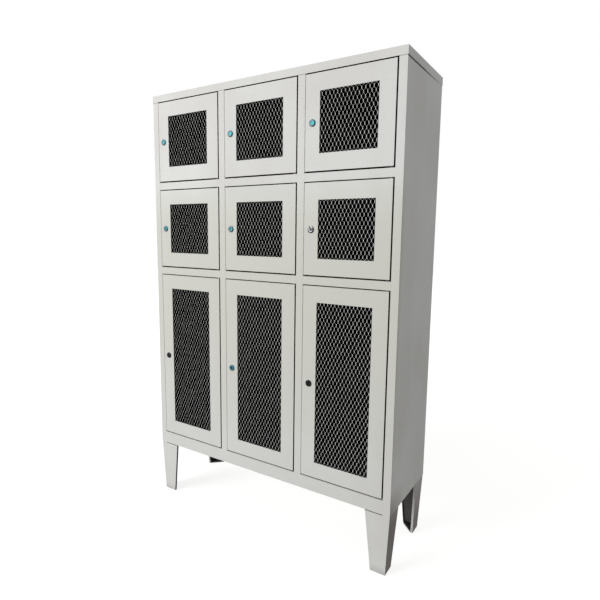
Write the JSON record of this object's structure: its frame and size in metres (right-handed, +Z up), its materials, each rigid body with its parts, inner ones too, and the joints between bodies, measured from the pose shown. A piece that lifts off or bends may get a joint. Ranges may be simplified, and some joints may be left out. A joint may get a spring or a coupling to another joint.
{
  "type": "mesh-door locker",
  "caption": "Sheet-steel locker on tapered legs: columns of lockable hinged doors with expanded-metal windows, short compartments above and tall ones below.",
  "frame": {"origin": "on the floor, under the middle of the locker's overall box", "axes": "+Z up, +X to the right as seen from the front, -Y towards the front (doors open towards -Y)"},
  "size_m": [1.15, 0.372, 1.8],
  "materials": {
    "grey_paint": "satin powder coat",
    "mesh_paint": "satin powder coat",
    "lock_metal": "plated die casting",
    "zinc_plated_steel": "zinc plated",
    "nylon": "black nylon",
    "black_plastic": "moulded polyethylene"
  },
  "bodies": {
    "carcass": {"top_cover": "grey_paint", "left_upright": "grey_paint", "right_upright": "grey_paint", "left_side_panel": "grey_paint", "right_side_panel": "grey_paint", "back_panel": "grey_paint", "left_post": "grey_paint", "right_post": "grey_paint", "left_divider": "grey_paint", "right_divider": "grey_paint", "bottom_panel": "grey_paint", "upper_shelf_left": "grey_paint", "upper_shelf_middle": "grey_paint", "upper_shelf_right": "grey_paint", "lower_shelf_left": "grey_paint", "lower_shelf_middle": "grey_paint", "lower_shelf_right": "grey_paint", "leg_front_left": "grey_paint", "leg_front_right": "grey_paint", "leg_rear_left": "grey_paint", "leg_rear_right": "grey_paint", "leg_plugs": "black_plastic", "hinge_rods": "zinc_plated_steel", "hinge_spacers": "nylon"},
    "door_top_left": {"door_top_left": "grey_paint", "mesh_top_left": "mesh_paint"},
    "lock_top_left": {"lock_top_left": "lock_metal"},
    "door_top_middle": {"door_top_middle": "grey_paint", "mesh_top_middle": "mesh_paint"},
    "lock_top_middle": {"lock_top_middle": "lock_metal"},
    "door_top_right": {"door_top_right": "grey_paint", "mesh_top_right": "mesh_paint"},
    "lock_top_right": {"lock_top_right": "lock_metal"},
    "door_mid_left": {"door_mid_left": "grey_paint", "mesh_mid_left": "mesh_paint"},
    "lock_mid_left": {"lock_mid_left": "lock_metal"},
    "door_mid_middle": {"door_mid_middle": "grey_paint", "mesh_mid_middle": "mesh_paint"},
    "lock_mid_middle": {"lock_mid_middle": "lock_metal"},
    "door_mid_right": {"door_mid_right": "grey_paint", "mesh_mid_right": "mesh_paint"},
    "lock_mid_right": {"lock_mid_right": "lock_metal"},
    "door_low_left": {"door_low_left": "grey_paint", "mesh_low_left": "mesh_paint"},
    "lock_low_left": {"lock_low_left": "lock_metal"},
    "door_low_middle": {"door_low_middle": "grey_paint", "mesh_low_middle": "mesh_paint"},
    "lock_low_middle": {"lock_low_middle": "lock_metal"},
    "door_low_right": {"door_low_right": "grey_paint", "mesh_low_right": "mesh_paint"},
    "lock_low_right": {"lock_low_right": "lock_metal"}
  },
  "joints": [
    {"name": "door_top_left_hinge", "type": "hinge", "parent": "carcass", "child": "door_top_left", "pos_m": [-0.21717, -0.17375, 1.6025], "axis": [0, 0, 1], "range_deg": [0, 110]},
    {"name": "lock_top_left_turn", "type": "hinge", "parent": "door_top_left", "child": "lock_top_left", "pos_m": [-0.514, -0.183, 1.60325], "axis": [0, 1, 0], "range_deg": [0, 90]},
    {"name": "door_top_middle_hinge", "type": "hinge", "parent": "carcass", "child": "door_top_middle", "pos_m": [0.15617, -0.17375, 1.6025], "axis": [0, 0, 1], "range_deg": [0, 110]},
    {"name": "lock_top_middle_turn", "type": "hinge", "parent": "door_top_middle", "child": "lock_top_middle", "pos_m": [-0.14067, -0.183, 1.60325], "axis": [0, 1, 0], "range_deg": [0, 90]},
    {"name": "door_top_right_hinge", "type": "hinge", "parent": "carcass", "child": "door_top_right", "pos_m": [0.5295, -0.17375, 1.6025], "axis": [0, 0, 1], "range_deg": [0, 110]},
    {"name": "lock_top_right_turn", "type": "hinge", "parent": "door_top_right", "child": "lock_top_right", "pos_m": [0.23267, -0.183, 1.60325], "axis": [0, 1, 0], "range_deg": [0, 90]},
    {"name": "door_mid_left_hinge", "type": "hinge", "parent": "carcass", "child": "door_mid_left", "pos_m": [-0.21717, -0.17375, 1.2335], "axis": [0, 0, 1], "range_deg": [0, 110]},
    {"name": "lock_mid_left_turn", "type": "hinge", "parent": "door_mid_left", "child": "lock_mid_left", "pos_m": [-0.514, -0.183, 1.23425], "axis": [0, 1, 0], "range_deg": [0, 90]},
    {"name": "door_mid_middle_hinge", "type": "hinge", "parent": "carcass", "child": "door_mid_middle", "pos_m": [0.15617, -0.17375, 1.2335], "axis": [0, 0, 1], "range_deg": [0, 110]},
    {"name": "lock_mid_middle_turn", "type": "hinge", "parent": "door_mid_middle", "child": "lock_mid_middle", "pos_m": [-0.14067, -0.183, 1.23425], "axis": [0, 1, 0], "range_deg": [0, 90]},
    {"name": "door_mid_right_hinge", "type": "hinge", "parent": "carcass", "child": "door_mid_right", "pos_m": [0.5295, -0.17375, 1.2335], "axis": [0, 0, 1], "range_deg": [0, 110]},
    {"name": "lock_mid_right_turn", "type": "hinge", "parent": "door_mid_right", "child": "lock_mid_right", "pos_m": [0.23267, -0.183, 1.23425], "axis": [0, 1, 0], "range_deg": [0, 90]},
    {"name": "door_low_left_hinge", "type": "hinge", "parent": "carcass", "child": "door_low_left", "pos_m": [-0.21717, -0.17375, 0.6605], "axis": [0, 0, 1], "range_deg": [0, 110]},
    {"name": "lock_low_left_turn", "type": "hinge", "parent": "door_low_left", "child": "lock_low_left", "pos_m": [-0.514, -0.183, 0.66125], "axis": [0, 1, 0], "range_deg": [0, 90]},
    {"name": "door_low_middle_hinge", "type": "hinge", "parent": "carcass", "child": "door_low_middle", "pos_m": [0.15617, -0.17375, 0.6605], "axis": [0, 0, 1], "range_deg": [0, 110]},
    {"name": "lock_low_middle_turn", "type": "hinge", "parent": "door_low_middle", "child": "lock_low_middle", "pos_m": [-0.14067, -0.183, 0.66125], "axis": [0, 1, 0], "range_deg": [0, 90]},
    {"name": "door_low_right_hinge", "type": "hinge", "parent": "carcass", "child": "door_low_right", "pos_m": [0.5295, -0.17375, 0.6605], "axis": [0, 0, 1], "range_deg": [0, 110]},
    {"name": "lock_low_right_turn", "type": "hinge", "parent": "door_low_right", "child": "lock_low_right", "pos_m": [0.23267, -0.183, 0.66125], "axis": [0, 1, 0], "range_deg": [0, 90]}
  ]
}
